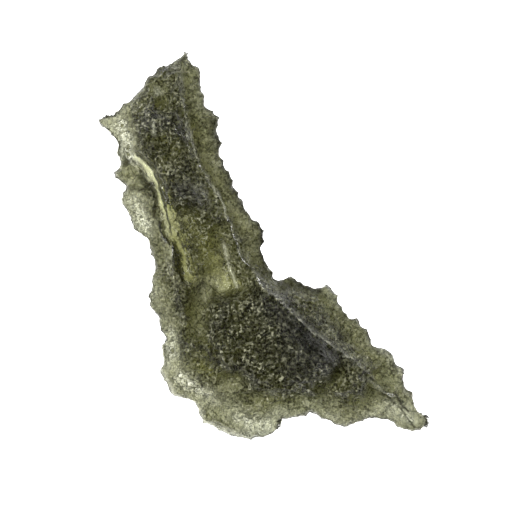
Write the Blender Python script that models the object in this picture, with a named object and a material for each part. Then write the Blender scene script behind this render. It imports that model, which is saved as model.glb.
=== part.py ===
"""A moldavite: one natural shard of green tektite glass, bent like a boot, lying on its flatter side.

The shard is a loft. Each ring crosses it from one edge to the other, over the top and back
underneath. The edges are ragged, the glass thickens inwards from them, and swells, hollows,
steps, trenches and etched pits shape its faces. Underneath, three worn pads touch the surface
that it rests on.

Frame: metres, +Z up. X = 0 and Y = 0 is the middle of the shard's outline, Z = 0 is the surface.
The narrow end points along +Y, and the toe of the boot points to +X.
"""

import itertools

import bpy
import numpy as np

MM = 0.001  # lengths below are in millimetres

# The glass
BODY_THICKNESS = 3.7  # that the glass gains from the edge inwards
EDGE_REACH = 1.2  # how far inside the edge it has gained most of it
EDGE_ROUND = 0.5  # thickness of the rounded edge itself
EDGE_ROUND_REACH = 0.12
EDGE_HEIGHT = 2.25  # of the edge above the surface
EDGE_SWAY = 0.45  # how far the edge rises and falls
EDGE_SWAY_CELL = 6.0
TOP_SHARE = 0.55  # of the thickness that lies above the edge
LEAST_THICKNESS = 0.5

# The mesh
FACE_POINTS = 26  # of each ring, over the upper face, and as many back underneath
EDGE_CROWDING = 0.35  # share of the spacing across that crowds towards the edges
RINGS = {"crown": 7, "spike": 12, "shaft": 14, "calf": 14, "heel": 13, "sole": 15, "toe": 18}

# The outline, in stretches from the narrow end to the toe. Each pair lists the points of the
# left edge and of the right edge, and a stretch starts where the one before it ends.
APEX = (-6.2, 15.5)
TOE_TIP = (13.2, -13.8)
OUTLINE = {
    "crown": (
        [APEX, (-6.6, 15.1), (-7.0, 14.8), (-7.5, 14.4), (-8.0, 14.5), (-8.4, 14.4), (-8.7, 13.9),
         (-9.1, 13.6), (-9.5, 13.1), (-9.6, 12.6)],
        [APEX, (-5.9, 15.2), (-5.8, 14.8), (-5.4, 14.4), (-5.0, 14.2), (-4.9, 13.6), (-4.8, 12.8)],
    ),
    "spike": (
        [(-9.6, 12.6), (-10.1, 12.2), (-10.7, 11.6), (-11.4, 11.2), (-12.0, 10.5), (-13.0, 10.3),
         (-13.2, 10.0), (-13.0, 9.5), (-12.6, 9.2), (-12.2, 8.9), (-11.8, 8.4), (-11.6, 8.0)],
        [(-4.8, 12.8), (-4.6, 12.1), (-4.6, 11.5), (-4.4, 11.1), (-3.9, 10.8), (-3.5, 10.4),
         (-3.3, 10.1), (-3.4, 9.5), (-3.6, 9.1), (-3.4, 8.6), (-3.1, 8.2)],
    ),
    "shaft": (
        [(-11.6, 8.0), (-11.8, 7.4), (-11.6, 6.9), (-11.5, 6.5), (-11.9, 6.0), (-12.0, 5.7),
         (-11.5, 5.2), (-11.1, 4.7), (-11.3, 4.1), (-11.4, 3.7), (-11.1, 3.1), (-10.7, 2.4),
         (-10.5, 1.9), (-10.3, 1.3), (-9.9, 0.9)],
        [(-3.1, 8.2), (-3.3, 7.7), (-3.2, 7.2), (-3.0, 6.8), (-3.0, 6.4), (-2.6, 6.0),
         (-2.5, 5.6), (-2.2, 5.2), (-2.2, 4.7), (-1.8, 4.4), (-1.8, 4.0), (-1.4, 3.5),
         (-1.2, 3.0), (-1.0, 2.6), (-0.8, 2.1)],
    ),
    "calf": (
        [(-9.9, 0.9), (-9.4, 0.6), (-9.2, 0.0), (-9.0, -0.8), (-8.7, -1.7), (-9.0, -2.5),
         (-9.0, -3.4), (-9.2, -4.4), (-9.0, -5.0), (-8.6, -5.3), (-8.4, -6.0), (-8.2, -6.8),
         (-7.8, -7.4)],
        [(-0.8, 2.1), (-0.2, 1.8), (0.1, 1.4), (0.2, 0.9), (0.4, 0.4), (0.1, -0.2),
         (0.2, -0.8), (0.5, -1.4), (0.9, -1.9), (1.0, -2.4)],
    ),
    "heel": (
        [(-7.8, -7.4), (-8.2, -7.8), (-8.2, -8.4), (-8.1, -9.0), (-8.2, -9.8), (-8.0, -10.5),
         (-7.6, -11.2), (-7.1, -12.0), (-6.4, -12.2), (-5.8, -12.4), (-5.4, -12.8), (-5.1, -13.6),
         (-4.9, -14.2)],
        [(1.0, -2.4), (1.3, -2.5), (1.8, -2.4), (2.3, -2.3)],
    ),
    "sole": (
        [(-4.9, -14.2), (-4.2, -14.4), (-3.5, -14.7), (-2.9, -15.0), (-2.1, -15.2), (-1.5, -15.4),
         (-1.0, -15.5), (-0.4, -15.2), (0.1, -15.2), (0.9, -14.9), (1.3, -14.4), (1.4, -13.9),
         (1.9, -13.8), (2.4, -13.7), (3.0, -13.6), (3.5, -13.5), (3.8, -13.2)],
        [(2.3, -2.3), (2.8, -2.7), (3.4, -2.9), (3.9, -3.1), (4.2, -3.2), (4.6, -3.1),
         (5.2, -3.0), (5.7, -3.4), (6.1, -3.8), (6.2, -4.4), (6.6, -5.1)],
    ),
    "toe": (
        [(3.8, -13.2), (4.2, -13.4), (4.6, -13.7), (5.4, -13.9), (5.8, -14.2), (6.6, -14.4),
         (7.1, -14.2), (7.8, -14.0), (8.6, -13.8), (9.4, -13.8), (10.2, -14.0), (10.7, -14.4),
         (11.5, -14.7), (12.2, -14.7), (12.7, -14.6), (13.0, -14.3), TOE_TIP],
        [(6.6, -5.1), (7.0, -5.6), (7.6, -5.7), (8.0, -6.2), (8.5, -6.6), (8.6, -7.2),
         (8.9, -7.7), (9.6, -7.9), (10.2, -8.2), (10.6, -8.8), (10.8, -9.3), (11.3, -9.5),
         (11.4, -10.0), (11.4, -10.5), (11.5, -11.1), (12.0, -11.6), (12.2, -12.2), (12.4, -12.8),
         (12.9, -13.2), (13.15, -13.5), TOE_TIP],
    ),
}

# Paths that several features follow
CREST = [
    (-6.2, 15.0), (-6.3, 13.6), (-6.0, 12.0), (-5.8, 10.4), (-5.3, 8.4), (-4.8, 6.8),
    (-4.1, 5.1), (-3.3, 3.9), (-2.6, 1.9), (-1.8, -0.4), (-0.1, -2.8), (1.8, -4.4),
    (3.8, -6.4), (5.8, -7.7), (7.5, -9.4), (9.8, -11.4), (11.4, -12.8), (12.9, -13.7),
]
GASH = [(-10.1, 7.0), (-9.0, 6.0), (-8.3, 4.8), (-8.0, 3.3)]
GASH_FOOT = [(-7.95, 3.4), (-7.5, 1.7), (-7.0, 0.4), (-6.5, -0.8), (-5.9, -2.6)]
FLUTE = [(-6.3, 2.9), (-4.8, -0.2), (-3.0, -3.0)]
SEAM = [(-3.2, 0.2), (-2.6, -1.9), (-2.1, -3.2)]
BLOTCH = [(-3.3, -2.9), (-2.6, -3.4), (-1.7, -3.1)]

# Where the rim is gentler, above zero, or steeper than elsewhere, below zero: a path, half its
# width, and the natural logarithm of the factor on its reach. A rim that is steep underneath is
# gentler on top, as far as the other is steeper.
EDGE_SLOPES = {
    "crown_left": ([(-9.4, 13.0), (-7.4, 14.6)], 1.8, -1.0),
    "left_rim": ([(-11.6, 3.6), (-10.2, 1.2)], 1.2, 0.6),
    "calf_rim": ([(-9.2, -3.6), (-9.2, -4.8), (-8.4, -7.6)], 1.0, 0.7),
    "heel_rim": ([(-8.2, -9.0), (-7.6, -11.2)], 1.2, 0.3),
    "sole_rim": ([(-2.6, -15.2), (0.6, -15.0), (1.8, -13.9)], 0.9, 0.5),
    "toe_rim": ([(5.2, -14.0), (6.6, -14.5), (8.2, -14.0)], 0.8, 0.4),
    "right_rim": ([(-5.4, 14.6), (-4.4, 11.6), (-2.8, 6.2), (-0.8, 2.4), (0.2, 0.4)], 1.4, -1.1),
    "instep_rim": ([(0.6, -1.4), (1.6, -2.4), (4.4, -3.2)], 1.2, -1.7),
    "knee_rim": ([(5.6, -3.6), (8.6, -7.4), (11.4, -10.4)], 1.2, -0.9),
}

# What rises from or sinks into the upper face: a path, half its width, and its height or depth.
# A path of one point is a round swell.
TOP_RELIEF = {
    "crown_swell": ([(-8.8, 13.4), (-6.8, 14.2)], 0.9, 0.3),
    "crown_dents": ([(-8.0, 12.6), (-7.5, 10.8)], 0.6, -0.9),
    "head_swell": ([(-8.6, 9.4), (-7.2, 9.4), (-6.0, 8.4)], 0.7, 0.9),
    "head_dents": ([(-8.4, 8.4), (-6.8, 7.3), (-8.6, 6.3)], 0.5, -0.5),
    "spike_dip": ([(-11.4, 9.6), (-10.7, 8.2)], 0.8, -1.4),
    "neck_swell": ([(-6.2, 4.6), (-5.4, 4.0)], 0.9, 1.6),
    "band_hollow": ([(-5.0, 10.4), (-4.6, 8.0), (-3.2, 5.0), (-1.4, 1.6)], 0.7, -0.7),
    "shelf_hollow": ([(-9.6, 3.4), (-9.0, 1.2)], 0.6, -1.1),
    "shelf_swell": ([(-8.0, 0.4), (-7.7, -1.0)], 0.6, 0.5),
    "flute": (FLUTE, 0.9, -0.8),
    "seam_hollow": ([(-3.6, 1.0), (-2.6, -2.0)], 0.8, -1.2),
    "blotch": (BLOTCH, 0.75, -1.3),
    "body_swell": ([(1.4, -5.0), (4.2, -8.6)], 1.9, 1.0),
    "body_ridge": ([(1.8, -5.6), (5.4, -8.8)], 0.8, 0.6),
    "waist_swell": ([(-4.4, -9.4), (-3.0, -9.0), (-0.7, -9.6)], 0.7, 0.5),
    "body_left_swell": ([(-2.4, -4.6), (-3.0, -6.0)], 0.7, 0.4),
    "knob": ([(5.2, -3.9), (5.7, -4.5)], 0.5, -1.6),
    "instep_swell": ([(0.8, -3.0), (3.8, -4.0)], 0.9, 0.8),
    "calf_hollow": ([(-8.2, -3.6), (-7.5, -6.4), (-7.5, -8.4)], 0.9, -0.8),
    "belly_hollow": ([(-5.0, -3.8), (-5.3, -6.8)], 0.7, -0.8),
    "pale_dent": ([(-2.8, -10.5), (-2.0, -10.6)], 0.6, -2.0),
    "heel_hollow": ([(-5.6, -10.2), (-4.2, -11.2), (-2.4, -12.2), (-0.2, -13.8)], 1.4, -1.3),
    "sole_hollow": ([(-0.6, -11.8), (3.6, -11.8)], 0.5, -0.6),
    "sole_groove": ([(6.2, -10.1), (5.0, -11.0), (5.3, -13.2)], 0.6, -0.6),
    "toe_hollow": ([(10.4, -9.8), (8.8, -11.2), (9.0, -12.8), (11.6, -13.5)], 0.8, -1.0),
    "toe_dent": ([(7.8, -7.4)], 0.6, -0.9),
    "crest": (CREST, 0.26, 0.2),
}

# The same for the underside, where a positive height goes down. The pads go below the surface
# and are cut off flat by it.
UNDER_RELIEF = {
    "head_pad": ([(-7.4, 9.4)], 1.5, 0.9),
    "heel_pad": ([(-4.6, -9.0)], 1.5, 0.8),
    "body_pad": ([(4.6, -8.8)], 1.8, 0.9),
    "under_flute": ([(-7.0, 2.0), (-4.2, -3.0), (-1.6, -5.0)], 1.1, -0.5),
    "under_heel": ([(-6.4, -10.4), (-4.6, -12.0), (-2.4, -13.6)], 1.3, -0.8),
}

# Narrow trenches with flat floors, on both faces: a path, half the width, and the depth
TOP_TRENCHES = {
    "gash": (GASH, 0.4, 1.0),
    "gash_foot": (GASH_FOOT, 0.4, 0.9),
    "seam": (SEAM, 0.12, 0.9),
}
UNDER_TRENCHES = {"gash": (GASH, 0.6, 1.3), "gash_foot": (GASH_FOOT, 0.5, 1.1)}
TRENCH_POWER = 6

# Steps in the upper face: going along the path, the face on the right-hand side is lower by the
# depth, and the step takes the width.
LEDGES = {
    "spike": ([(-10.6, 13.6), (-10.6, 11.0), (-10.3, 8.6), (-10.3, 7.2), (-13.0, 6.8)], 0.12, 1.7),
    "left_shelf": (
        [(-13.0, 7.3), (-10.4, 7.0), (-9.0, 6.0), (-8.3, 4.8), (-8.0, 2.6), (-7.4, 0.8),
         (-7.6, -1.2), (-8.6, -2.4), (-10.4, -3.2)],
        0.16, 0.9,
    ),
    "crown_flange": ([(-3.5, 10.6), (-5.6, 10.9), (-6.1, 12.0), (-6.4, 13.6), (-6.4, 16.0)], 0.15, 0.9),
    "right_slope": (CREST[::-1], 0.45, 0.35),
    "sole_step": (
        [(-0.5, -15.9), (0.8, -12.6), (2.2, -12.1), (4.2, -11.7), (7.0, -11.7), (9.8, -11.9), (13.6, -12.6)],
        0.2, 0.9,
    ),
}

# How far the features' paths are shaken sideways: the size of the waves and their reach
WARPS = ((2.6, 0.35), (0.9, 0.16))

# Etched pits: how far apart they are and how deep, largest first
PITS = ((2.1, 0.34), (1.1, 0.3))
PIT_FADE = 0.7  # how far inside the edge the pits reach their depth
HASH_PRIMES = (73856093, 19349663, 83492791)
GLASS_COLOUR = (0.105, 0.115, 0.055, 1.0)
GLASS_ROUGHNESS = 0.3


def clear_scene():
    for found in list(bpy.data.objects):
        bpy.data.objects.remove(found)


def spaced(points, count):
    """Count + 1 points at even distances along a polyline."""
    points = np.array(points)
    lengths = np.hypot(*np.diff(points, axis=0).T)
    travelled = np.concatenate([[0.0], np.cumsum(lengths)])
    wanted = np.linspace(0.0, travelled[-1], count + 1)
    return np.stack([np.interp(wanted, travelled, axis) for axis in points.T], axis=1)


def ring_ends():
    """The left and the right end of every ring, from the apex to the toe."""
    sides = []
    for side in (0, 1):
        stretches = [spaced(pair[side], RINGS[name])[:-1] for name, pair in OUTLINE.items()]
        sides.append(np.concatenate([*stretches, [TOE_TIP]]))
    return sides


def path_distance(places, path):
    """Each place's distance from a polyline, or from a single point, above zero on the right-hand
    side of the way along it and below zero on the left."""
    path = np.array(path, float)
    starts, ends = (path, path) if len(path) == 1 else (path[:-1], path[1:])
    nearest = np.full(places.shape[:-1], np.inf)
    side = np.ones(places.shape[:-1])
    for start, end in zip(starts, ends):
        run = end - start
        share = np.clip((places - start) @ run / max(run @ run, 1e-9), 0.0, 1.0)
        away = places - start - share[..., None] * run
        distance = (away * away).sum(-1)
        closer = distance < nearest
        nearest = np.where(closer, distance, nearest)
        turned = away[..., 0] * run[1] - away[..., 1] * run[0]
        side = np.where(closer, np.where(turned < 0.0, -1.0, 1.0), side)
    return np.sqrt(nearest) * side


def hashed(cells, seed):
    """Three numbers from 0 to 1 for each whole-numbered cell, the same on every run."""
    mixed = np.full(cells.shape[:-1], seed * 2654435761 % 2**32, np.uint32)
    for axis, prime in enumerate(HASH_PRIMES):
        mixed ^= cells[..., axis].astype(np.uint32) * np.uint32(prime)
    numbers = []
    for _ in range(3):
        mixed = (mixed ^ (mixed >> np.uint32(15))) * np.uint32(2246822519)
        mixed ^= mixed >> np.uint32(13)
        numbers.append(mixed / 2**32)
    return np.stack(numbers, axis=-1)


def bowls(points, size, seed):
    """Pits with sharp crests between them: the square of the distance to the nearest seed point,
    one seed to a cell, from 0 in a pit's middle to about 1 on a crest."""
    scaled = points / size
    home = np.floor(scaled).astype(np.int64)
    nearest = np.full(points.shape[:-1], np.inf)
    for step in itertools.product((-1, 0, 1), repeat=3):
        cell = home + np.array(step)
        nearest = np.minimum(nearest, ((cell + hashed(cell, seed) - scaled) ** 2).sum(-1))
    return np.minimum(nearest, 1.0)


def waves(points, size, seed):
    """Smooth noise from -1 to 1: hashed numbers at the corners of each cell, eased between."""
    scaled = points / size
    home = np.floor(scaled).astype(np.int64)
    share = scaled - home
    share = share * share * (3.0 - 2.0 * share)
    total = np.zeros(points.shape[:-1])
    for corner in itertools.product((0, 1), repeat=3):
        weight = np.where(np.array(corner) == 1, share, 1.0 - share).prod(-1)
        total += weight * hashed(home + np.array(corner), seed)[..., 0]
    return 2.0 * total - 1.0


def bell(places, path, half_width):
    """1 on a path, falling to nothing beside it as a bell curve does."""
    return np.exp(-((path_distance(places, path) / half_width) ** 2))


def relief(places, features):
    """The sum of every feature's bell-shaped cross-section at each place."""
    total = np.zeros(places.shape[:-1])
    for path, half_width, height in features.values():
        total += height * bell(places, path, half_width)
    return total


def trenches(places, features):
    """How far the trenches lower each place: flat across the floor, then up in steep walls."""
    total = np.zeros(places.shape[:-1])
    for path, half_width, depth in features.values():
        total -= depth * np.exp(-((path_distance(places, path) / half_width) ** TRENCH_POWER))
    return total


def ledges(places):
    """How far the steps lower each place: a smooth S from nothing on the left-hand side of a path
    to the whole depth on its right."""
    total = np.zeros(places.shape[:-1])
    for path, width, depth in LEDGES.values():
        total -= depth * (0.5 + 0.5 * np.tanh(path_distance(places, path) / width))
    return total


def lifted(places):
    """Places in the plane as points in space, at height zero."""
    return np.concatenate([places, np.zeros(places.shape[:-1] + (1,))], axis=-1)


def warped(places):
    """Places moved a little sideways by smooth noise, so that what is drawn on them wanders."""
    moved = places.copy()
    for number, (size, reach) in enumerate(WARPS):
        for axis in (0, 1):
            moved[..., axis] += reach * waves(lifted(places), size, seed=71 + 2 * number + axis)
    return moved


def shard_points():
    """Every ring's points, as an array of rings by points by X, Y and Z in millimetres. The first
    half of a ring crosses the upper face from the right edge to the left, and the second half comes
    back underneath. The thickness grows from the edge inwards as one minus a falling exponential."""
    left, right = ring_ends()
    share = np.arange(FACE_POINTS) / FACE_POINTS
    share = np.concatenate([share, 1.0 - share])
    upper = np.arange(len(share)) < FACE_POINTS
    on_edge = (share == 0.0) | (share == 1.0)
    eased = (1.0 - np.cos(np.pi * share)) / 2.0
    across = (1.0 - EDGE_CROWDING) * share + EDGE_CROWDING * eased
    places = right[:, None] + (left - right)[:, None] * across[None, :, None]

    inside = np.abs(path_distance(places, np.concatenate([left, right[::-1]])))
    inside[:, on_edge] = 0.0
    rim = 1.0 - np.exp(-inside / EDGE_ROUND_REACH)
    gentle = np.exp(relief(places, EDGE_SLOPES))
    reaches = (EDGE_REACH * np.maximum(gentle, 1.0 / gentle), EDGE_REACH * gentle)
    over, below = (BODY_THICKNESS * (1.0 - np.exp(-inside / reach)) + EDGE_ROUND * rim for reach in reaches)
    taper = 1.0 - np.exp(-((inside / PIT_FADE) ** 2))

    flat = lifted(places)
    edge_height = EDGE_HEIGHT + EDGE_SWAY * waves(flat, EDGE_SWAY_CELL, seed=3)
    shaken = warped(places)
    top = relief(shaken, TOP_RELIEF) + ledges(shaken) + trenches(places, TOP_TRENCHES)
    under = relief(places, UNDER_RELIEF) + trenches(places, UNDER_TRENCHES)
    top = TOP_SHARE * over + taper * top
    under = (1.0 - TOP_SHARE) * below + taper * under
    for number, (size, depth) in enumerate(PITS):
        top += depth * taper * (bowls(flat, size, seed=11 + number) - 0.5)
        under += depth * taper * (bowls(flat, size, seed=21 + number) - 0.5)
    least = LEAST_THICKNESS / 2.0 * rim
    top, under = np.maximum(top, least), np.maximum(under, least)
    height = np.maximum(np.where(upper, edge_height + top, edge_height - under), 0.0)
    return np.concatenate([places, height[..., None]], axis=-1)


def loft(name, rings):
    """One closed mesh over the rings, whose first and last have shrunk to a single point."""
    count, around = rings.shape[0], rings.shape[1]
    points = np.concatenate([rings[0, :1], rings[1:-1].reshape(-1, 3), rings[-1, :1]])
    ring = np.arange(around)
    following = (ring + 1) % around
    row = 1 + np.arange(count - 3)[:, None] * around
    quads = np.stack([row + ring, row + following, row + around + following, row + around + ring], axis=-1)
    last = len(points) - 1
    last_row = last - around
    start_fan = np.stack([np.zeros(around, int), 1 + following, 1 + ring], axis=-1)
    end_fan = np.stack([np.full(around, last), last_row + ring, last_row + following], axis=-1)
    faces = [*quads.reshape(-1, 4).tolist(), *start_fan.tolist(), *end_fan.tolist()]
    mesh = bpy.data.meshes.new(name)
    mesh.from_pydata((points * MM).tolist(), [], faces)
    mesh.shade_flat()
    mesh.update()
    return mesh


def glass():
    material = bpy.data.materials.new("tektite_glass")
    material.use_nodes = True
    shader = material.node_tree.nodes["Principled BSDF"]
    shader.inputs["Base Color"].default_value = GLASS_COLOUR
    shader.inputs["Roughness"].default_value = GLASS_ROUGHNESS
    shader.inputs["Metallic"].default_value = 0.0
    return material


def build():
    clear_scene()
    collection = bpy.data.collections.new("moldavite")
    bpy.context.scene.collection.children.link(collection)
    shard = bpy.data.objects.new("moldavite", loft("moldavite", shard_points()))
    shard.data.materials.append(glass())
    collection.objects.link(shard)


build()
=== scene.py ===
"""The looks of a moldavite: a raw shard of olive-green tektite glass that lies on a lit pale surface,
seen from straight above. The shard is one surface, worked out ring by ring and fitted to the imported
model's box. Places on it are named as on a boot: the crown and the spike are at the narrow end, the
shaft and the calf run down from it, and the heel, the sole and the toe are at the wide end.

Lengths are in millimetres up to the mesh, which is in metres. +Y is the narrow end, +Z is up.
"""

import itertools
import math

import bpy
import numpy as np
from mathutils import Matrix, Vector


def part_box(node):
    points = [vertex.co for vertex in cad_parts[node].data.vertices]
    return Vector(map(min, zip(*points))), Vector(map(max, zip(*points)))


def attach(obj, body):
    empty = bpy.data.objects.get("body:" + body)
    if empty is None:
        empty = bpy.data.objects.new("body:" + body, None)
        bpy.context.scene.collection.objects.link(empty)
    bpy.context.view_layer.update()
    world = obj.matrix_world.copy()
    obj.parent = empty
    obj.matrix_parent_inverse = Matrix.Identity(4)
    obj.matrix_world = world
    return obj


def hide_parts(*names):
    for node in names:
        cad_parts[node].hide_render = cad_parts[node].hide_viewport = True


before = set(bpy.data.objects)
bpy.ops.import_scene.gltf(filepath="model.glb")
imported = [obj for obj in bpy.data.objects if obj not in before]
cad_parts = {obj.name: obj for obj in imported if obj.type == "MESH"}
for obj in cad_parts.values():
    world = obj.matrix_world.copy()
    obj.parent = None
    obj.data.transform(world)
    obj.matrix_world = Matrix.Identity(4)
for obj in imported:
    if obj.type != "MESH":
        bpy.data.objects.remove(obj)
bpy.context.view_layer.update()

MM = 0.001

# The glass
BODY_THICKNESS = 3.7  # that the glass gains from the edge inwards
EDGE_REACH = 1.2  # how far inside the edge it has gained most of it
EDGE_ROUND = 0.5  # thickness of the rounded edge itself
EDGE_ROUND_REACH = 0.12
EDGE_HEIGHT = 2.25  # of the edge above the surface
EDGE_SWAY = 0.45  # how far the edge rises and falls
EDGE_SWAY_CELL = 6.0
TOP_SHARE = 0.55  # of the thickness that lies above the edge
LEAST_THICKNESS = 0.5
THIN_GLASS = 1.5  # about this thick and less, the glass is pale and its grain no longer darkened

# The grid
UPPER_POINTS = 128  # of each ring, over the upper face
LOWER_POINTS = 78  # and back underneath
EDGE_CROWDING = 0.35  # share of the spacing across that crowds towards the edges
EDGE_CALM = 8  # rings on each side over which an edge is smoothed out
NORMAL_CALM = 3  # the same, for the way that an edge faces
RIM_SWING = 0.8  # how far inside the rim the rings still follow its ragged line
CURVE_STEPS = 12  # between two points of the outline
RINGS = {"crown": 36, "spike": 62, "shaft": 69, "calf": 73, "heel": 69, "sole": 78, "toe": 93}

# The outline, in stretches from the narrow end to the toe. Each pair lists the points of the
# left edge and of the right edge, and a stretch starts where the one before it ends.
APEX = (-6.2, 15.5)
TOE_TIP = (13.2, -13.8)
OUTLINE = {
    "crown": (
        [APEX, (-6.6, 15.1), (-7.0, 14.8), (-7.5, 14.5), (-8.0, 14.4), (-8.4, 14.3), (-8.7, 13.9),
         (-9.1, 13.6), (-9.5, 13.1), (-9.6, 12.6)],
        [APEX, (-5.9, 15.2), (-5.8, 14.8), (-5.4, 14.4), (-5.0, 14.2), (-4.9, 13.6), (-4.8, 12.8)],
    ),
    "spike": (
        [(-9.6, 12.6), (-10.1, 12.2), (-10.7, 11.6), (-11.4, 11.2), (-12.0, 10.5), (-13.0, 10.3),
         (-13.2, 10.0), (-13.0, 9.5), (-12.6, 9.2), (-12.2, 8.9), (-11.8, 8.4), (-11.6, 8.0)],
        [(-4.8, 12.8), (-4.6, 12.1), (-4.6, 11.5), (-4.4, 11.1), (-3.9, 10.8), (-3.5, 10.4),
         (-3.3, 10.1), (-3.4, 9.5), (-3.6, 9.1), (-3.4, 8.6), (-3.1, 8.2)],
    ),
    "shaft": (
        [(-11.6, 8.0), (-11.8, 7.4), (-11.6, 6.9), (-11.5, 6.5), (-11.9, 6.0), (-12.0, 5.7),
         (-11.5, 5.2), (-11.1, 4.7), (-11.3, 4.1), (-11.4, 3.7), (-11.1, 3.1), (-10.7, 2.4),
         (-10.5, 1.9), (-10.3, 1.3), (-9.9, 0.9)],
        [(-3.1, 8.2), (-3.3, 7.7), (-3.2, 7.2), (-3.0, 6.8), (-3.0, 6.4), (-2.6, 6.0),
         (-2.5, 5.6), (-2.2, 5.2), (-2.2, 4.7), (-1.8, 4.4), (-1.8, 4.0), (-1.4, 3.5),
         (-1.2, 3.0), (-1.0, 2.6), (-0.8, 2.1)],
    ),
    "calf": (
        [(-9.9, 0.9), (-9.4, 0.6), (-9.2, 0.0), (-9.0, -0.8), (-8.7, -1.7), (-9.0, -2.5),
         (-9.0, -3.4), (-9.2, -4.4), (-9.0, -5.0), (-8.6, -5.3), (-8.4, -6.0), (-8.2, -6.8),
         (-7.8, -7.4)],
        [(-0.8, 2.1), (-0.2, 1.8), (0.1, 1.4), (0.2, 0.9), (0.4, 0.4), (0.1, -0.2),
         (0.2, -0.8), (0.5, -1.4), (0.9, -1.9), (1.0, -2.4)],
    ),
    "heel": (
        [(-7.8, -7.4), (-8.2, -7.8), (-8.2, -8.4), (-8.1, -9.0), (-8.2, -9.8), (-8.0, -10.5),
         (-7.6, -11.2), (-7.1, -12.0), (-6.4, -12.2), (-5.8, -12.4), (-5.4, -12.8), (-5.1, -13.6),
         (-4.9, -14.2)],
        [(1.0, -2.4), (1.3, -2.5), (1.8, -2.4), (2.3, -2.3)],
    ),
    "sole": (
        [(-4.9, -14.2), (-4.2, -14.4), (-3.5, -14.7), (-2.9, -15.0), (-2.1, -15.2), (-1.5, -15.4),
         (-1.0, -15.5), (-0.4, -15.2), (0.1, -15.2), (0.9, -14.9), (1.3, -14.4), (1.4, -13.9),
         (1.9, -13.8), (2.4, -13.7), (3.0, -13.6), (3.5, -13.5), (3.8, -13.2)],
        [(2.3, -2.3), (2.8, -2.7), (3.4, -2.9), (3.9, -3.1), (4.2, -3.2), (4.6, -3.1),
         (5.2, -3.0), (5.7, -3.4), (6.1, -3.8), (6.2, -4.4), (6.6, -5.1)],
    ),
    "toe": (
        [(3.8, -13.2), (4.2, -13.4), (4.6, -13.7), (5.4, -13.9), (5.8, -14.2), (6.6, -14.4),
         (7.1, -14.2), (7.8, -14.0), (8.6, -13.8), (9.4, -13.8), (10.2, -14.0), (10.7, -14.4),
         (11.5, -14.7), (12.2, -14.7), (12.7, -14.6), (13.0, -14.3), TOE_TIP],
        [(6.6, -5.1), (7.0, -5.6), (7.6, -5.7), (8.0, -6.2), (8.5, -6.6), (8.6, -7.2),
         (8.9, -7.7), (9.6, -7.9), (10.2, -8.2), (10.6, -8.8), (10.8, -9.3), (11.3, -9.5),
         (11.4, -10.0), (11.4, -10.5), (11.5, -11.1), (12.0, -11.6), (12.2, -12.2), (12.4, -12.8),
         (12.9, -13.2), (13.15, -13.5), TOE_TIP],
    ),
}
# Chips along the rim: how far apart they are and how deep
RIM_CHIPS = ((1.0, 0.16), (0.45, 0.12), (0.22, 0.06))
CHIP_LEVEL = 0.33  # share of a chip's depth that goes inside the outline

# Paths that several features follow
CREST = [
    (-6.2, 15.0), (-6.3, 13.6), (-6.0, 12.0), (-5.8, 10.4), (-5.3, 8.4), (-4.8, 6.8),
    (-4.1, 5.1), (-3.3, 3.9), (-2.6, 1.9), (-1.8, -0.4), (-0.1, -2.8), (1.8, -4.4),
    (3.8, -6.4), (5.8, -7.7), (7.5, -9.4), (9.8, -11.4), (11.4, -12.8), (12.9, -13.7),
]
GASH = [(-10.1, 7.0), (-9.0, 6.0), (-8.2, 4.8), (-7.8, 3.3)]
GASH_FOOT = [(-7.8, 3.4), (-7.45, 1.7), (-7.0, 0.4), (-6.5, -0.8), (-5.9, -2.6)]
FLUTE = [(-6.3, 2.9), (-4.8, -0.2), (-3.0, -3.0)]
SEAM = [(-3.2, 0.2), (-2.6, -1.9), (-2.1, -3.2)]
BLOTCH = [(-3.3, -2.9), (-2.6, -3.4), (-1.7, -3.1)]
SHELF_CREASE = [(-10.7, 6.5), (-10.3, 6.8), (-9.7, 6.3), (-9.4, 5.7), (-9.6, 5.3), (-8.9, 4.7),
                (-8.3, 4.3), (-8.2, 3.7), (-8.5, 2.4)]
SHELF_FOLD = [(-10.4, 4.6), (-9.2, 4.4), (-8.5, 4.6)]

# Where the rim is gentler, above zero, or steeper than elsewhere, below zero: a path, half its
# width, and the natural logarithm of the factor on its reach. A rim that is steep underneath is
# gentler on top, as far as the other is steeper.
EDGE_SLOPES = {
    "crown_left": ([(-9.4, 13.0), (-8.3, 14.0)], 1.8, -1.0),
    "left_rim": ([(-11.6, 3.6), (-10.2, 1.2)], 1.2, 0.6),
    "calf_rim": ([(-9.2, -3.6), (-9.2, -4.8), (-8.4, -7.6)], 1.0, 0.7),
    "heel_rim": ([(-8.2, -9.0), (-7.6, -11.2)], 1.2, 0.3),
    "sole_rim": ([(-2.6, -15.2), (0.6, -15.0), (1.8, -13.9)], 0.9, 0.5),
    "toe_rim": ([(5.2, -14.0), (6.6, -14.5), (8.2, -14.0)], 0.8, 0.4),
    "right_rim": ([(-5.4, 14.6), (-4.4, 11.6), (-2.8, 6.2), (-0.8, 2.4), (0.2, 0.4)], 1.4, -1.1),
    "instep_rim": ([(0.6, -1.4), (1.6, -2.4), (3.6, -3.0)], 1.2, -1.7),
    "knob_rim": ([(4.9, -3.2), (5.9, -4.2)], 0.7, 0.5),
    "knee_rim": ([(6.6, -5.2), (8.6, -7.4), (11.4, -10.4)], 1.2, -0.9),
}

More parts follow.
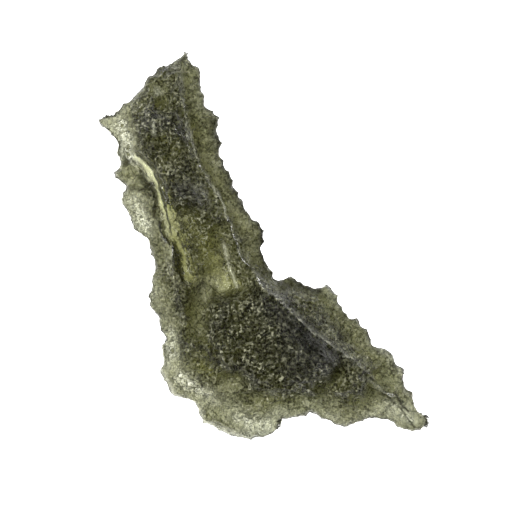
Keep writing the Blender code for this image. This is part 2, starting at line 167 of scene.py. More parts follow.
# What rises from or sinks into the upper face: a path, half its width, and its height or depth.
# A path of one point is a round swell.
TOP_RELIEF = {
    "crown_swell": ([(-8.8, 13.4), (-6.8, 14.2)], 0.9, 0.3),
    "crown_dents": ([(-8.0, 12.6), (-7.5, 10.8)], 0.6, -0.9),
    "head_swell": ([(-8.6, 9.4), (-7.2, 9.4), (-6.0, 8.4)], 0.7, 0.9),
    "head_dents": ([(-8.4, 8.4), (-6.8, 7.3), (-8.6, 6.3)], 0.5, -0.5),
    "spike_dip": ([(-11.4, 9.6), (-10.7, 8.2)], 0.8, -2.3),
    "neck_swell": ([(-6.2, 4.6), (-5.4, 4.0)], 0.9, 1.3),
    "band_hollow": ([(-5.0, 10.4), (-4.6, 8.0), (-3.2, 5.0), (-1.4, 1.6)], 0.7, -0.7),
    "shelf_hollow": ([(-9.6, 3.4), (-9.0, 1.2)], 0.6, -1.5),
    "shelf_swell": ([(-8.0, 0.4), (-7.7, -1.0)], 0.6, 0.5),
    "gash_bank": ([(-8.1, 1.6), (-7.6, 0.2), (-6.8, -1.8)], 0.45, 0.8),
    "shelf_crease": (SHELF_CREASE, 0.12, -0.25),
    "shelf_fold": (SHELF_FOLD, 0.14, -0.25),
    "flute": (FLUTE, 0.9, -0.8),
    "seam_hollow": ([(-3.6, 1.0), (-2.6, -2.0)], 0.8, -1.2),
    "blotch": (BLOTCH, 0.75, -1.3),
    "body_swell": ([(1.4, -5.0), (4.2, -8.6)], 1.9, 1.3),
    "body_ridge": ([(1.8, -5.6), (5.4, -8.8)], 0.8, 0.6),
    "waist_swell": ([(-4.4, -9.4), (-3.0, -9.0), (-0.7, -9.6)], 0.7, 0.5),
    "body_left_swell": ([(-2.4, -4.6), (-3.0, -6.0)], 0.7, 0.4),
    "knob": ([(4.8, -3.5), (5.6, -4.3)], 0.6, -0.7),
    "instep_swell": ([(0.8, -3.0), (3.8, -4.0)], 0.9, 0.8),
    "calf_hollow": ([(-8.2, -3.6), (-7.5, -6.4), (-7.5, -8.4)], 0.9, -1.1),
    "belly_hollow": ([(-4.5, -2.6), (-5.0, -3.8), (-5.3, -6.8)], 0.7, -1.7),
    "notch_swell": ([(-0.3, -2.4), (0.9, -4.2)], 0.8, 0.7),
    "pale_dent": ([(-2.8, -10.5), (-2.0, -10.6)], 0.6, -2.0),
    "heel_hollow": ([(-5.6, -10.2), (-4.2, -11.2), (-2.4, -12.2), (-0.2, -13.8)], 1.4, -1.6),
    "sole_hollow": ([(-0.6, -11.8), (3.6, -11.8)], 0.5, -0.6),
    "sole_groove": ([(6.2, -10.1), (5.0, -11.0), (5.3, -13.2)], 0.6, -1.1),
    "toe_hollow": ([(10.4, -9.8), (8.8, -11.2), (9.0, -12.8), (11.6, -13.5)], 0.8, -1.0),
    "toe_dent": ([(7.8, -7.4)], 0.6, -0.9),
    "crest": (CREST, 0.22, 0.3),
}

# The same for the underside, where a positive height goes down. The pads go below the surface
# and are cut off flat by it.
UNDER_RELIEF = {
    "head_pad": ([(-7.4, 9.4)], 1.5, 0.9),
    "heel_pad": ([(-4.6, -9.0)], 1.5, 0.8),
    "body_pad": ([(4.6, -8.8)], 1.8, 0.9),
    "under_flute": ([(-7.0, 2.0), (-4.2, -3.0), (-1.6, -5.0)], 1.1, -0.5),
    "under_calf": ([(-6.4, 0.2), (-6.0, -1.4), (-5.6, -4.2)], 0.6, -0.4),
    "under_spike": ([(-11.6, 9.8), (-10.8, 8.0)], 0.9, -1.2),
    "under_shelf": ([(-10.0, 3.6), (-9.4, 1.4)], 0.8, -0.75),
    "under_toe": ([(10.4, -12.6), (11.8, -13.8)], 0.9, -0.8),
    "under_heel": ([(-7.4, -8.0), (-7.0, -10.2), (-5.0, -12.0), (-2.4, -13.8), (0.2, -14.8)], 1.2, -1.1),
}

# Narrow trenches with flat floors, on both faces: a path, half the width, and the depth. Where
# they cross, the deeper one counts. The higher the power, the steeper their walls.
TOP_TRENCHES = {
    "gash": (GASH, 0.38, 0.2),
    "gash_foot": (GASH_FOOT, 0.42, 0.2),
    "seam": (SEAM, 0.12, 0.9),
}
UNDER_TRENCHES = {"gash": (GASH, 0.65, 1.5), "gash_foot": (GASH_FOOT, 0.6, 1.4)}
TRENCH_POWER = 4

# Where the face is smooth and clean: a path, half its width, and how smooth it is at most
BARE_GLASS = {
    "flute": (FLUTE, 1.0, 0.45),
    "gash": (GASH, 0.36, 1.0),
    "gash_foot": (GASH_FOOT, 0.5, 0.75),
    "seam": (SEAM, 0.14, 0.8),
    "blotch": (BLOTCH, 0.7, 0.3),
}

# Painted shade in the skin's colour: dark lines along creases and beside the gash, dark bands along
# steep rims, and broad shades over the thick body, waist and neck. A path, half its width, and how dark it
# is
PAINTED_SHADE = {
    "shelf_crease": (SHELF_CREASE, 0.11, 1.0),
    "shelf_fold": (SHELF_FOLD, 0.11, 1.0),
    "gash_side_shade": ([(-8.1, 2.6), (-7.8, 1.6), (-7.2, 0.0), (-6.5, -1.6), (-5.9, -3.4)], 0.11, 1.0),
    "right_edge_shade": ([(-3.6, 9.5), (-2.9, 6.6), (-1.7, 3.4), (0.1, 1.2)], 0.5, 0.6),
    "instep_edge_shade": ([(0.1, 1.2), (0.2, -1.4), (1.0, -2.6), (2.2, -2.6), (4.4, -3.3)], 0.6, 0.9),
    "crown_edge_shade": ([(-9.5, 13.2), (-8.6, 14.0), (-7.6, 14.3)], 0.5, 0.8),
    "toe_foot_shade": ([(11.3, -14.3), (12.5, -14.5)], 0.3, 0.6),
    "toe_fold_shade": ([(8.6, -11.2), (10.4, -12.3), (11.6, -13.2)], 0.1, 0.95),
    "waist_shade": ([(-4.4, -9.4), (-3.0, -9.1)], 0.6, 0.4),
    "body_shade": ([(1.8, -5.6), (3.0, -6.8), (4.4, -8.0), (5.6, -8.6)], 0.9, 0.6),
    "body_core_shade": ([(3.7, -7.2), (4.8, -7.8)], 0.6, 0.6),
    "body_foot_shade": ([(0.8, -8.4), (2.6, -8.8), (3.6, -10.2)], 0.9, 0.4),
    "neck_shade": ([(-6.6, 4.8), (-5.4, 4.2)], 0.6, 0.35),
    "toe_crease_shade": ([(9.4, -11.9), (10.9, -13.0), (12.0, -14.2)], 0.12, 0.95),
}
RIM_LINE = 0.13  # half the width of the dark line of painted shade along the whole rim, for the dark outline of its steep sides
RIM_SHADE_DARKNESS = 0.8  # how dark that painted shade is

# White marks where the glass is bruised or worn through to its clear core, and on the head a painted
# highlight that stands in for a glint: a path, half its width, and how white it is
WHITE_MARKS = {
    # A painted highlight: a white spot on the head standing in for a glint
    "head_glint": ([(-8.6, 9.2), (-8.5, 8.5)], 0.16, 1.0),
    "crown_bruise": ([(-8.25, 12.5), (-8.2, 12.1)], 0.24, 1.0),
    "band_scratch": ([(-5.6, 8.9), (-5.4, 8.2)], 0.08, 1.0),
    "shaft_scratch": ([(-3.3, 4.2), (-3.0, 3.4)], 0.1, 1.0),
    "crest_line": (CREST, 0.1, 0.6),
    "spike_foot": ([(-11.2, 7.7), (-11.1, 7.1)], 0.4, 1.0),
    "shelf_rim": ([(-11.3, 3.8), (-11.0, 3.2)], 0.3, 1.0),
    "shelf_foot": ([(-10.5, 2.0), (-10.1, 1.3)], 0.35, 1.0),
    "heel_rim": ([(-8.0, -8.2), (-8.0, -10.2), (-7.2, -11.6), (-5.4, -12.7), (-5.0, -13.9), (-2.6, -15.0),
                  (-0.8, -15.3), (0.6, -14.9)], 0.45, 1.0),
    "toe_streak": ([(8.3, -10.6), (10.2, -12.0), (11.9, -13.5)], 0.1, 0.9),
    "knee_rim": ([(8.9, -7.9), (10.4, -8.7), (11.2, -9.8)], 0.3, 0.8),
}
SEAM_LINE = 0.08  # half the width of the white line along the whole seam

# Steps in the upper face: going along the path, the face on the right-hand side is lower by the
# depth, and the step takes the width.
LEDGES = {
    "spike": ([(-10.6, 13.6), (-10.6, 11.0), (-10.3, 8.6), (-10.3, 7.2), (-13.0, 6.8)], 0.12, 1.7),
    "left_shelf": (
        [(-13.0, 7.6), (-10.3, 7.4), (-8.8, 6.4), (-7.9, 5.0), (-7.6, 2.8), (-7.2, 0.9),
         (-7.5, -1.2), (-8.6, -2.4), (-10.4, -3.2)],
        0.16, 0.9,
    ),
    "crown_flange": ([(-3.5, 10.6), (-5.6, 10.9), (-6.1, 12.0), (-6.4, 13.6), (-6.4, 16.0)], 0.15, 0.9),
    "right_slope": (CREST[::-1], 0.45, 0.35),
    "sole_step": (
        [(-0.5, -15.9), (0.8, -12.6), (2.2, -12.1), (4.2, -11.7), (7.0, -11.7), (9.8, -11.9), (13.6, -12.6)],
        0.2, 0.9,
    ),
}

# How far the features' paths are shaken sideways: the size of the waves and their reach
WARPS = ((2.6, 0.35), (0.9, 0.16))

# Etched pits that shape the faces: how far apart they are and how deep, largest first
PITS = ((2.1, 0.34), (1.1, 0.3))
PIT_LEVEL = 0.5  # share of a pit's depth that goes below the face
PIT_FADE = 0.7  # how far inside the edge the pits reach their depth
# The fine sculpture inside those pits
FINE_PITS = ((0.62, 0.3), (0.36, 0.2))
FINE_PIT_LEVEL = 0.75  # the same for the fine ones
RIM_PITS = 0.6  # share of the fine pits' depth that is left at the rim
BARE_PITS = 0.3  # and where the face is smooth
PATCHY_PITS = (2.4, 0.35)  # the size of patches of deeper and shallower ones, and by how much
# Streaks along the flute: how far apart they are, how deep, and over what length they come and go
STREAK_WIDTH = 0.34
STREAK_DEPTH = 0.025
STREAK_LENGTH = 1.5

# What keeps the random numbers of one shape apart from those of another
SEEDS = {"edge": 3, "top": 11, "under": 21, "chips": 31, "patches": 41, "fine": 51, "streaks": 61,
         "warps": 71}
HASH_PRIMES = (73856093, 19349663, 83492791)

# The grain of the skin, too fine for the mesh: pits of two sizes. The real skin has finer ones too,
# and is drawn with the smallest that show. The grain goes from 0 in a pit to about 1 on a crest.
COARSE_GRAIN = 0.24
FINE_GRAIN = 0.14
FINE_SHARE = 0.45  # how much the finer pits count beside the coarser
GRAIN_DEPTH = 0.2  # how far the skin rises while the grain goes from 0 to 1
WANDER = 0.22  # how far the grain is shaken out of its cells, by noise of the next size
WANDER_SIZE = 0.3
PATCH_SIZE = 1.3  # of patches with more grime and patches with more frost
PATCH_SWING = 1.2  # how far the grain counts as lower or higher there, from end to end
# The grain is darkened in its pits up to the first of these, and not at all from the second on
DARK_PIT_RANGE = (0.3, 0.75)
# Dark creases between the pits of the skin: the size of a pit and the width of its crease
CREASES = ((0.8, 0.05), (0.36, 0.03))
CREASE_GAP_SIZE = 0.9
CREASE_GAPS = 0.3  # how much the creases come and go
CREASE_SHARE = 0.65  # of their length that shows, about
CREASE_LIGHT = 0.1  # what gets through them
# Painted highlights: pale frost specks on crests of the grain that stand in for glints. From where in
# the grain they show, and for which of the random numbers that the fine pits draw
CREST_RANGE = (0.76, 0.92)
LOT_RANGE = (0.15, 1.0)
# Share of the light that white frost scatters: on those crests, where it is painted highlight; on white
# marks; and in glass so thin that it is nearly clear
GLINT_FROST = 0.9
WHITE_FROST = 0.8
RIM_FROST = 0.2

# The finish of the glass
ETCHED_ROUGHNESS = 0.32
BARE_ROUGHNESS = 0.12
GLASS_IOR = 1.49
SKIN_COLOURS = ("#F1F0DC", "#E6EAD8")
TINT_SIZE = 4.5  # of the patches of one skin colour and the other
# The colour of the darkened pits and creases of the grain, and of all painted shade
PIT_AND_SHADE_COLOUR = "#1C1B0E"
# The white of the frost specks painted as highlights
PAINTED_GLINT_COLOUR = "#E4E4C8"
ABSORPTION_COLOUR = "#B0B068"
ABSORPTION_DENSITY = 1500.0  # per metre

# The camera looks straight down, and the photograph's frame is square
FRAME_WIDTH = 40.65  # across the shard's middle plane
FRAME_CENTRE = (-0.6, -0.84)
LENS = 100.0
SENSOR = 36.0

CAMERA_REACH = 10000.0

# The studio
FLOOR_SIZE = 1600.0
FLOOR_COLOUR = "#F2F2F0"
FLOOR_GLOW_COLOUR = "#FFFFFF"
FLOOR_GLOW = 2.0
FLOOR_ROUGHNESS = 0.8
DOME_COLOUR = "#F4F6F8"
DOME_STRENGTH = 0.08
SOFTBOX_COLOUR = "#FBFBEC"
# Each softbox's direction as an azimuth, from 0 at the photograph's bottom towards its right, and
# an elevation, in degrees, and then its radiance
SOFTBOXES = (("key", -115.0, 46.0, 13.5), ("side", -40.0, 44.0, 7.0), ("fill", 150.0, 50.0, 3.0))
SOFTBOX_WIDTH = 150.0
SOFTBOX_DISTANCE = 450.0


def linear(hex_colour):
    """An sRGB hex colour as linear RGBA."""
    channels = np.array([int(hex_colour[place:place + 2], 16) for place in (1, 3, 5)]) / 255.0
    toned = np.where(channels <= 0.04045, channels / 12.92, ((channels + 0.055) / 1.055) ** 2.4)
    return (*toned.tolist(), 1.0)


def rounded(points):
    """A smooth curve through the points: the cubic that leaves each point along the line between
    its two neighbours, read at CURVE_STEPS places to a stretch."""
    points = np.array(points)
    padded = np.concatenate([points[:1], points, points[-1:]])
    before, start, end, after = padded[:-3], padded[1:-2], padded[2:-1], padded[3:]
    share = (np.arange(CURVE_STEPS) / CURVE_STEPS)[None, :, None]
    before, start, end, after = (each[:, None] for each in (before, start, end, after))
    bend = (2.0 * before - 5.0 * start + 4.0 * end - after) * share**2
    twist = (3.0 * start - before - 3.0 * end + after) * share**3
    curve = start + 0.5 * ((end - before) * share + bend + twist)
    return np.concatenate([curve.reshape(-1, 2), points[-1:]])


def spaced(points, count):
    """Count + 1 points at even distances along a polyline."""
    lengths = np.hypot(*np.diff(points, axis=0).T)
    travelled = np.concatenate([[0.0], np.cumsum(lengths)])
    wanted = np.linspace(0.0, travelled[-1], count + 1)
    return np.stack([np.interp(wanted, travelled, axis) for axis in points.T], axis=1)


def path_distance(places, path):
    """Each place's distance from a polyline, or from a single point, above zero on the right-hand
    side of the way along it and below zero on the left."""
    path = np.array(path, float)
    starts, ends = (path, path) if len(path) == 1 else (path[:-1], path[1:])
    nearest = np.full(places.shape[:-1], np.inf)
    side = np.ones(places.shape[:-1])
    for start, end in zip(starts, ends):
        run = end - start
        share = np.clip((places - start) @ run / max(run @ run, 1e-9), 0.0, 1.0)
        away = places - start - share[..., None] * run
        distance = (away * away).sum(-1)
        closer = distance < nearest
        nearest = np.where(closer, distance, nearest)
        turned = away[..., 0] * run[1] - away[..., 1] * run[0]
        side = np.where(closer, np.where(turned < 0.0, -1.0, 1.0), side)
    return np.sqrt(nearest) * side


def hashed(cells, seed):
    """Three numbers from 0 to 1 for each whole-numbered cell, the same on every run."""
    mixed = np.full(cells.shape[:-1], seed * 2654435761 % 2**32, np.uint32)
    for axis, prime in enumerate(HASH_PRIMES):
        mixed ^= cells[..., axis].astype(np.uint32) * np.uint32(prime)
    numbers = []
    for _ in range(3):
        mixed = (mixed ^ (mixed >> np.uint32(15))) * np.uint32(2246822519)
        mixed ^= mixed >> np.uint32(13)
        numbers.append(mixed / 2**32)
    return np.stack(numbers, axis=-1)


def bowls(points, size, seed):
    """Pits with sharp crests between them: the square of the distance to the nearest seed point,
    one seed to a cell, from 0 in a pit's middle to about 1 on a crest."""
    scaled = points / size
    home = np.floor(scaled).astype(np.int64)
    nearest = np.full(points.shape[:-1], np.inf)
    for step in itertools.product((-1, 0, 1), repeat=3):
        cell = home + np.array(step)
        nearest = np.minimum(nearest, ((cell + hashed(cell, seed) - scaled) ** 2).sum(-1))
    return np.minimum(nearest, 1.0)


def waves(points, size, seed):
    """Smooth noise from -1 to 1: hashed numbers at the corners of each cell, eased between."""
    scaled = points / size
    home = np.floor(scaled).astype(np.int64)
    share = scaled - home
    share = share * share * (3.0 - 2.0 * share)
    total = np.zeros(points.shape[:-1])
    for corner in itertools.product((0, 1), repeat=3):
        weight = np.where(np.array(corner) == 1, share, 1.0 - share).prod(-1)
        total += weight * hashed(home + np.array(corner), seed)[..., 0]
    return 2.0 * total - 1.0


def bell(places, path, half_width):
    """1 on a path, falling to nothing beside it as a bell curve does."""
    return np.exp(-((path_distance(places, path) / half_width) ** 2))


def relief(places, features):
    """The sum of every feature's bell-shaped cross-section at each place."""
    total = np.zeros(places.shape[:-1])
    for path, half_width, height in features.values():
        total += height * bell(places, path, half_width)
    return total


def trenches(places, features):
    """How far the deepest trench lowers each place: flat across the floor, then up in steep walls."""
    deepest = np.zeros(places.shape[:-1])
    for path, half_width, depth in features.values():
        fall = depth * np.exp(-((path_distance(places, path) / half_width) ** TRENCH_POWER))
        deepest = np.maximum(deepest, fall)
    return -deepest


def ledges(places):
    """How far the steps lower each place: a smooth S from nothing on the left-hand side of a path
    to the whole depth on its right."""
    total = np.zeros(places.shape[:-1])
    for path, width, depth in LEDGES.values():
        total -= depth * (0.5 + 0.5 * np.tanh(path_distance(places, path) / width))
    return total


def lifted(places):
    """Places in the plane as points in space, at height zero."""
    return np.concatenate([places, np.zeros(places.shape[:-1] + (1,))], axis=-1)


def averaged(points, reach):
    """Each point of an edge averaged with its neighbours on both sides. Beyond each end the edge
    goes on as its own reflection in the end point, which so stays where it is."""
    before = 2 * points[:1] - points[reach:0:-1]
    after = 2 * points[-1:] - points[-2:-reach - 2:-1]
    padded = np.concatenate([before, points, after])
    weights = np.ones(2 * reach + 1) / (2 * reach + 1)
    return np.stack([np.convolve(axis, weights, mode="valid") for axis in padded.T], axis=1)


def warped(places):
    """Places moved a little sideways by smooth noise, so that what is drawn on them wanders."""
    moved = places.copy()
    for number, (size, reach) in enumerate(WARPS):
        for axis in (0, 1):
            moved[..., axis] += reach * waves(lifted(places), size, SEEDS["warps"] + 2 * number + axis)
    return moved


def ring_ends():
    """The left and the right end of every ring: a smooth curve through each edge's points, moved
    in and out by chips whose crests point outwards."""
    sides = []
    for side, outwards in ((0, 1.0), (1, -1.0)):
        stretches = []
        for name, pair in OUTLINE.items():
            stretches.append(spaced(rounded(pair[side]), RINGS[name])[:-1])
        edge = np.concatenate([*stretches, [TOE_TIP]])
        along = np.gradient(averaged(edge, NORMAL_CALM), axis=0)
        normal = np.stack([along[:, 1], -along[:, 0]], axis=1) * outwards
        normal /= np.linalg.norm(normal, axis=1, keepdims=True)
        chips = sum(depth * (bowls(lifted(edge), size, SEEDS["chips"] + number) - CHIP_LEVEL)
                    for number, (size, depth) in enumerate(RIM_CHIPS))
        chips[[0, -1]] = 0.0
        sides.append(edge + normal * chips[:, None])
    return sides


def ring_places():
    """Where each ring's points lie seen from above, how far each is inside the outline, and which
    are on the upper face. A ring runs straight between the two edges smoothed out, and only near
    the rim does it swing to the edge's own ragged line."""
    left, right = ring_ends()
    over = np.arange(UPPER_POINTS) / UPPER_POINTS
    back = 1.0 - np.arange(LOWER_POINTS) / LOWER_POINTS
    share = np.concatenate([over, back])
    upper = np.arange(len(share)) < UPPER_POINTS
    eased = (1.0 - np.cos(np.pi * share)) / 2.0
    across = (1.0 - (1.0 - EDGE_CROWDING) * share - EDGE_CROWDING * eased)[None, :, None]
    calm_left, calm_right = averaged(left, EDGE_CALM), averaged(right, EDGE_CALM)
    width = np.linalg.norm(calm_right - calm_left, axis=1)[:, None, None]
    places = calm_left[:, None] + (calm_right - calm_left)[:, None] * across
    places += (left - calm_left)[:, None] * np.exp(-((across * width / RIM_SWING) ** 2))
    places += (right - calm_right)[:, None] * np.exp(-(((1.0 - across) * width / RIM_SWING) ** 2))
    on_edge = (share == 0.0) | (share == 1.0)
    places[:, share == 0.0] = right[:, None]
    places[:, share == 1.0] = left[:, None]
    inside = np.abs(path_distance(places, np.concatenate([left, right[::-1]])))
    inside[:, on_edge] = 0.0
    return places, inside, upper


def shard_points():
    """Every ring's points, rings by points by X, Y and Z. Half of a ring crosses the upper face from
    the right edge to the left, and the other half comes back underneath. The glass's thickness
    grows from the edge inwards as one minus a falling exponential; relief and pits are added to it.
    With the points come how far inside the outline they are, and three looks, each from 0 to 1: how
    thin the glass is, how white, and how free of painted shade."""
    places, inside, upper = ring_places()
    rim = 1.0 - np.exp(-inside / EDGE_ROUND_REACH)
    gentle = np.exp(relief(places, EDGE_SLOPES))
    reaches = (EDGE_REACH * np.maximum(gentle, 1.0 / gentle), EDGE_REACH * gentle)
    over, below = (BODY_THICKNESS * (1.0 - np.exp(-inside / reach)) + EDGE_ROUND * rim for reach in reaches)
    taper = 1.0 - np.exp(-((inside / PIT_FADE) ** 2))

    flat = lifted(places)
    edge_height = EDGE_HEIGHT + EDGE_SWAY * waves(flat, EDGE_SWAY_CELL, SEEDS["edge"])
    shaken = warped(places)
    top = relief(shaken, TOP_RELIEF) + ledges(shaken) + trenches(places, TOP_TRENCHES)
    under = relief(places, UNDER_RELIEF) + trenches(places, UNDER_TRENCHES)
    top = TOP_SHARE * over + taper * top
    under = (1.0 - TOP_SHARE) * below + taper * under
    for number, (size, depth) in enumerate(PITS):
        top += depth * taper * (bowls(flat, size, SEEDS["top"] + number) - PIT_LEVEL)
        under += depth * taper * (bowls(flat, size, SEEDS["under"] + number) - PIT_LEVEL)
    least = LEAST_THICKNESS / 2.0 * rim
    top, under = np.maximum(top, least), np.maximum(under, least)
    height = np.where(upper, edge_height + top, edge_height - under)
    thin = np.exp(-((top + under) / THIN_GLASS) ** 2)
    white = bell(places, SEAM, SEAM_LINE) * upper
    for path, half_width, whiteness in WHITE_MARKS.values():
        white = np.maximum(white, whiteness * bell(shaken, path, half_width) * upper)
    # Painted shade: a dark line along the whole rim, and the dark lines and patches listed above, darken the
    # skin's colour
    unshaded = 1.0 - RIM_SHADE_DARKNESS * np.exp(-((inside / RIM_LINE) ** 2))
    for path, half_width, darkness in PAINTED_SHADE.values():
        unshaded *= 1.0 - darkness * bell(shaken, path, half_width) * upper
    rings = np.concatenate([places, height[..., None]], axis=-1)
    return rings, inside, {"thin": thin, "white": white, "unshaded": unshaded}


def smoothness(places):
    """How smooth the face is, from 0 where it is etched all over to 1 where it is bare glass."""
    return np.clip(relief(places, BARE_GLASS), 0.0, 1.0)


def sculpted(rings, inside):
    """The rings moved along their normals by fine pits and, in the flute, by long streaks. What
    would go through the surface that the shard rests on is cut off flat."""
    along = np.gradient(rings, axis=0)
    around = np.roll(rings, -1, axis=1) - np.roll(rings, 1, axis=1)
    normal = np.cross(around, along)
    normal /= np.maximum(np.linalg.norm(normal, axis=-1, keepdims=True), 1e-9)
    smooth = smoothness(rings[..., :2])
    fade = RIM_PITS + (1.0 - RIM_PITS) * (1.0 - np.exp(-((inside / PIT_FADE) ** 2)))
    patch_size, swing = PATCHY_PITS
    patchy = 1.0 + swing * waves(rings, patch_size, SEEDS["patches"])
    moved = np.zeros(inside.shape)
    for number, (size, depth) in enumerate(FINE_PITS):
        moved += depth * (bowls(rings, size, SEEDS["fine"] + number) - FINE_PIT_LEVEL) * patchy
    moved *= fade * (1.0 - (1.0 - BARE_PITS) * smooth)
    streaks = np.cos(2.0 * np.pi * path_distance(rings[..., :2], FLUTE) / STREAK_WIDTH)
    moved += STREAK_DEPTH * streaks * smooth * waves(rings, STREAK_LENGTH, SEEDS["streaks"])
    rings = rings + normal * moved[..., None]
    rings[..., 2] = np.maximum(rings[..., 2], 0.0)
    return rings


def fitted(points, low, high):
    """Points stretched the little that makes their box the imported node's own."""
    least = points.reshape(-1, 3).min(0)
    most = points.reshape(-1, 3).max(0)
    return low + (points - least) * ((high - low) / (most - least))


def one_row(grid):
    """The grid's values in the order of the mesh's points: one for the first ring and the last."""
    return np.concatenate([grid[0, :1], grid[1:-1].reshape(-1, *grid.shape[2:]), grid[-1, :1]])


def loft(name, rings):
    """One closed mesh over the rings, whose first and last are drawn together in a point."""
    count, around = rings.shape[0], rings.shape[1]
    points = one_row(rings)
    ring = np.arange(around)
    following = (ring + 1) % around
    row = 1 + np.arange(count - 3)[:, None] * around
    quads = np.stack([row + ring, row + following, row + around + following, row + around + ring], axis=-1)
    last = len(points) - 1
    last_row = last - around
    start_fan = np.stack([np.zeros(around, int), 1 + following, 1 + ring], axis=-1)
    end_fan = np.stack([np.full(around, last), last_row + ring, last_row + following], axis=-1)
    faces = [*quads.reshape(-1, 4).tolist(), *start_fan.tolist(), *end_fan.tolist()]
    mesh = bpy.data.meshes.new(name)
    mesh.from_pydata((points * MM).tolist(), [], faces)
    mesh.shade_smooth()
    mesh.update()
    return mesh


def attribute(mesh, name, values):
    """One number for each of a mesh's points, which its material reads by name."""
    mesh.attributes.new(name, "FLOAT", "POINT").data.foreach_set("value", values.astype(np.float32))


def add_node(tree, kind, settings=None, links=None):
    """A node of a kind, with its settings, and its inputs set to values or linked to sockets."""
    node = tree.nodes.new(kind)
    for name, value in (settings or {}).items():
        setattr(node, name, value)
    for name, value in (links or {}).items():
        if isinstance(value, bpy.types.NodeSocket):
            tree.links.new(value, node.inputs[name])
        else:
            node.inputs[name].default_value = value
    return node


def new_material(name):
    """An empty material, its node tree and its output node."""
    material = bpy.data.materials.new(name)
    material.use_nodes = True
    material.node_tree.nodes.clear()
    output = material.node_tree.nodes.new("ShaderNodeOutputMaterial")
    return material, material.node_tree, output


def scale(size):
    """A texture's scale for cells or waves of a size in millimetres."""
    return 1.0 / (size * MM)


def noise(tree, spot, size, detail=2.0, output="Fac"):
    """Smooth noise in space, around a half."""
    node = add_node(tree, "ShaderNodeTexNoise", {},
                    {"Vector": spot, "Scale": scale(size), "Detail": detail})
    return node.outputs[output]


def voronoi(tree, spot, size, feature="F1"):
    """Cells in space, with the distance to each one's middle or to its edge."""
    return add_node(tree, "ShaderNodeTexVoronoi", {"feature": feature},
                    {"Vector": spot, "Scale": scale(size)})


def computed(tree, operation, *values):
    """What an operation makes of one, two or three numbers."""
    return add_node(tree, "ShaderNodeMath", {"operation": operation}, dict(enumerate(values))).outputs[0]


def mapped(tree, value, start, stop, low=0.0, high=1.0, curve="LINEAR"):
    """A value from start to stop as one from low to high, which goes no further."""
    node = add_node(tree, "ShaderNodeMapRange", {"interpolation_type": curve},
                    {"Value": value, "From Min": start, "From Max": stop, "To Min": low, "To Max": high})
    return node.outputs["Result"]


def blended(tree, factor, first, second):
    """The first colour where the factor is 0, and the second where it is 1."""
    node = add_node(tree, "ShaderNodeMix", {"data_type": "RGBA"}, {"Factor": factor, 6: first, 7: second})
    return node.outputs[2]


def creased(tree, spot, light, darkening_fades):
    """The light that is left where dark creases cross the skin. They fade where the glass is thin, smooth or
    white.
    """
    gaps = noise(tree, spot, CREASE_GAP_SIZE)
    middle = CREASE_SHARE * CREASE_GAPS
    for size, width in CREASES:
        edge = voronoi(tree, spot, size, "DISTANCE_TO_EDGE").outputs["Distance"]
        broken = computed(tree, "MULTIPLY_ADD", gaps, CREASE_GAPS, edge)
        line = mapped(tree, broken, middle - width / size, middle + width / size,
                      CREASE_LIGHT, 1.0, "SMOOTHSTEP")
        light = computed(tree, "MULTIPLY", light, computed(tree, "MAXIMUM", line, darkening_fades))
    return light


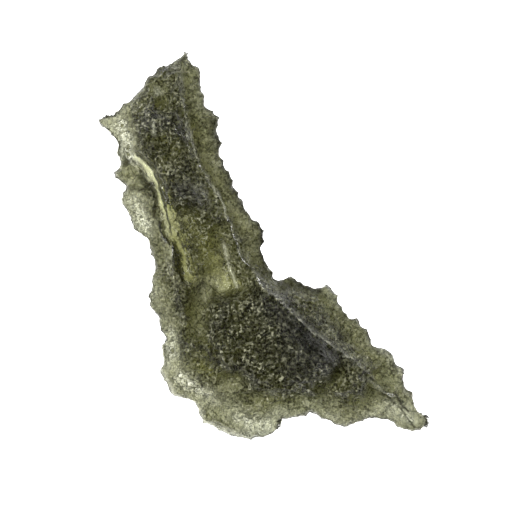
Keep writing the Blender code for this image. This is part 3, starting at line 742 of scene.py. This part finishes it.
def tektite_glass():
    """Natural tektite glass, formed molten and etched in the ground: olive by absorption, so thick
    places are nearly black and thin edges nearly clear, with a glossy skin broken by fine pits.
    Its pits and fine creases are darkened in colour, painted shade darkens its rims, creases and thick
    places, and pale frost specks on the crests of its pits are painted highlights that stand in for glints."""
    material, tree, output = new_material("tektite_glass")
    smooth, thin, white, unshaded = (
        add_node(tree, "ShaderNodeAttribute", {"attribute_name": name}).outputs["Fac"]
        for name in ("smooth", "thin", "white", "unshaded"))
    etched = mapped(tree, smooth, 0.0, 1.0, 1.0, 0.0)
    darkening_fades = computed(tree, "MAXIMUM", computed(tree, "MAXIMUM", thin, smooth), white)

    straight = add_node(tree, "ShaderNodeTexCoord").outputs["Object"]
    shake = noise(tree, straight, WANDER_SIZE, output="Color")
    spot = add_node(tree, "ShaderNodeVectorMath", {"operation": "MULTIPLY_ADD"},
                    {0: shake, 1: (WANDER * MM,) * 3, 2: straight}).outputs["Vector"]
    coarse = voronoi(tree, spot, COARSE_GRAIN)
    fine = voronoi(tree, spot, FINE_GRAIN)
    grain = computed(tree, "MULTIPLY_ADD", fine.outputs["Distance"], FINE_SHARE, coarse.outputs["Distance"])
    patches = noise(tree, spot, PATCH_SIZE, detail=3.0)
    uneven = computed(tree, "MULTIPLY_ADD", patches, PATCH_SWING, -PATCH_SWING / 2.0)

    # The grain is darkened in its pits and fine creases, less where the glass is thin, smooth or white, and
    # painted shade from the mesh darkens it further
    light = mapped(tree, computed(tree, "ADD", grain, uneven), *DARK_PIT_RANGE)
    light = creased(tree, spot, computed(tree, "MAXIMUM", light, darkening_fades), darkening_fades)
    light = computed(tree, "MULTIPLY", light, unshaded)

    # Painted highlights: pale frost specks on crests of the grain, standing in for glints
    lot = add_node(tree, "ShaderNodeSeparateColor", {}, {"Color": fine.outputs["Color"]}).outputs["Red"]
    crest = mapped(tree, grain, *CREST_RANGE, curve="SMOOTHSTEP")
    chosen = mapped(tree, computed(tree, "ADD", lot, uneven), *LOT_RANGE)
    painted_glint = computed(tree, "MULTIPLY", crest, chosen)
    painted_glint = computed(tree, "MULTIPLY", painted_glint, etched)
    painted_glint = computed(tree, "MULTIPLY", painted_glint, unshaded)

    clear = mapped(tree, thin, 0.0, 1.0, 1.0, 1.0 - RIM_FROST)
    clear = computed(tree, "MULTIPLY_ADD", white, -WHITE_FROST, clear)
    clear = computed(tree, "MULTIPLY_ADD", painted_glint, -GLINT_FROST, clear)

    tint = noise(tree, spot, TINT_SIZE)
    colour = blended(tree, tint, *(linear(each) for each in SKIN_COLOURS))
    colour = blended(tree, light, linear(PIT_AND_SHADE_COLOUR), colour)
    colour = blended(tree, painted_glint, colour, linear(PAINTED_GLINT_COLOUR))
    roughness = mapped(tree, smooth, 0.0, 1.0, ETCHED_ROUGHNESS, BARE_ROUGHNESS)
    bump = add_node(tree, "ShaderNodeBump", {},
                    {"Height": grain, "Distance": GRAIN_DEPTH * MM, "Strength": etched})
    glass = add_node(tree, "ShaderNodeBsdfPrincipled", {},
                     {"Base Color": colour, "Roughness": roughness, "IOR": GLASS_IOR,
                      "Transmission Weight": clear, "Normal": bump.outputs["Normal"]})
    absorbed = add_node(tree, "ShaderNodeVolumeAbsorption", {},
                        {"Color": linear(ABSORPTION_COLOUR), "Density": ABSORPTION_DENSITY})
    tree.links.new(glass.outputs["BSDF"], output.inputs["Surface"])
    tree.links.new(absorbed.outputs["Volume"], output.inputs["Volume"])
    return material


def light_table():
    """White matt acrylic lit from behind: plain, and bright enough to shine through thin glass."""
    material, tree, output = new_material("white_acrylic")
    acrylic = add_node(tree, "ShaderNodeBsdfPrincipled", {},
                       {"Base Color": linear(FLOOR_COLOUR), "Roughness": FLOOR_ROUGHNESS,
                        "Emission Color": linear(FLOOR_GLOW_COLOUR), "Emission Strength": FLOOR_GLOW})
    tree.links.new(acrylic.outputs["BSDF"], output.inputs["Surface"])
    return material


def build_shard():
    """The shard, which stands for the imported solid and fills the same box."""
    rings, inside, looks = shard_points()
    low, high = (np.array(corner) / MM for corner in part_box("moldavite"))
    rings = sculpted(rings, inside)
    rings = fitted(rings, low, high)
    mesh = loft("shard", rings)
    looks["smooth"] = smoothness(rings[..., :2])
    for name, values in looks.items():
        attribute(mesh, name, one_row(values))
    shard = bpy.data.objects.new("shard", mesh)
    bpy.context.scene.collection.objects.link(shard)
    mesh.materials.append(tektite_glass())
    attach(shard, "root")
    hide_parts("moldavite")


def build_floor():
    """The plain surface that the shard lies on, wide enough to fill every view."""
    half = FLOOR_SIZE * MM / 2.0
    mesh = bpy.data.meshes.new("floor")
    mesh.from_pydata([(-half, -half, 0.0), (half, -half, 0.0), (half, half, 0.0), (-half, half, 0.0)],
                     [], [(0, 1, 2, 3)])
    mesh.materials.append(light_table())
    floor = bpy.data.objects.new("floor", mesh)
    bpy.context.scene.collection.objects.link(floor)


def softbox(name, azimuth, elevation, glow):
    """A square softbox that faces the shard, with its place given by angles in degrees. Its power
    is pi times its radiance and its area."""
    lamp = bpy.data.lights.new(name, "AREA")
    lamp.shape = "SQUARE"
    lamp.size = SOFTBOX_WIDTH * MM
    lamp.energy = math.pi * glow * (SOFTBOX_WIDTH * MM) ** 2
    lamp.color = linear(SOFTBOX_COLOUR)[:3]
    holder = bpy.data.objects.new(name, lamp)
    turn, rise = math.radians(azimuth), math.radians(elevation)
    away = SOFTBOX_DISTANCE * MM
    holder.location = (away * math.cos(rise) * math.sin(turn),
                       -away * math.cos(rise) * math.cos(turn),
                       away * math.sin(rise))
    holder.rotation_euler = (math.pi / 2.0 - rise, 0.0, turn)
    bpy.context.scene.collection.objects.link(holder)


def build_studio():
    """A faint even dome of light, and the softboxes."""
    world = bpy.data.worlds.new("dome")
    bpy.context.scene.world = world
    world.use_nodes = True
    sky = world.node_tree.nodes["Background"]
    sky.inputs["Color"].default_value = linear(DOME_COLOUR)
    sky.inputs["Strength"].default_value = DOME_STRENGTH
    for settings in SOFTBOXES:
        softbox(*settings)


def build_camera():
    """A long lens straight above, as high as makes the frame's width that of the photograph."""
    camera = bpy.data.cameras.new("camera")
    camera.lens = LENS
    camera.sensor_width = SENSOR
    camera.clip_start = MM
    camera.clip_end = CAMERA_REACH * MM
    camera.dof.use_dof = False
    holder = bpy.data.objects.new("camera", camera)
    height = EDGE_HEIGHT + FRAME_WIDTH * LENS / SENSOR
    holder.location = (FRAME_CENTRE[0] * MM, FRAME_CENTRE[1] * MM, height * MM)
    bpy.context.scene.collection.objects.link(holder)
    bpy.context.scene.camera = holder
    bpy.context.scene.view_settings.view_transform = "Standard"


build_camera()
build_studio()
build_floor()
build_shard()
